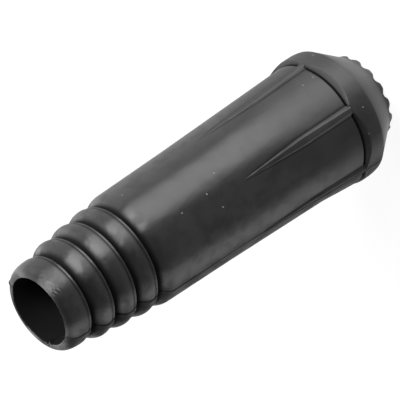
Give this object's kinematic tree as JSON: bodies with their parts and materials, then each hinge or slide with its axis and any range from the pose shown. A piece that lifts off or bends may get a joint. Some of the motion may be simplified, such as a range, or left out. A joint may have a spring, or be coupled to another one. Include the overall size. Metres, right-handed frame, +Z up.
{
  "type": "in-line welding cable connector",
  "caption": "Round in-line connector for welding cable: ribbed rubber boot with a ringed tail, holding a brass bayonet socket contact with clamp screws and a split sleeve.",
  "frame": {"origin": "on the axis, at the tips of the teeth on the boot's nose, which it stands on", "axes": "+Z up the axis from the nose to the cable mouth, +X through one rib of the boot, in the plane of the mould's parting line"},
  "size_m": [0.0288, 0.0288, 0.0882],
  "materials": {
    "black_rubber": "satin moulded rubber",
    "brass": "turned",
    "screw_steel": "blackened",
    "copper": "rolled"
  },
  "bodies": {
    "connector": {"boot": "black_rubber", "contact": "brass", "cable_sleeve": "copper"},
    "rear_screw": {"clamp_screw_rear": "screw_steel"},
    "front_screw": {"clamp_screw_front": "screw_steel"}
  },
  "joints": [
    {"name": "rear_screw_travel", "type": "slide", "parent": "connector", "child": "rear_screw", "axis": [-1, 0, 0], "range_m": [0, 0.0015]},
    {"name": "front_screw_travel", "type": "slide", "parent": "connector", "child": "front_screw", "axis": [-1, 0, 0], "range_m": [0, 0.0015]}
  ]
}
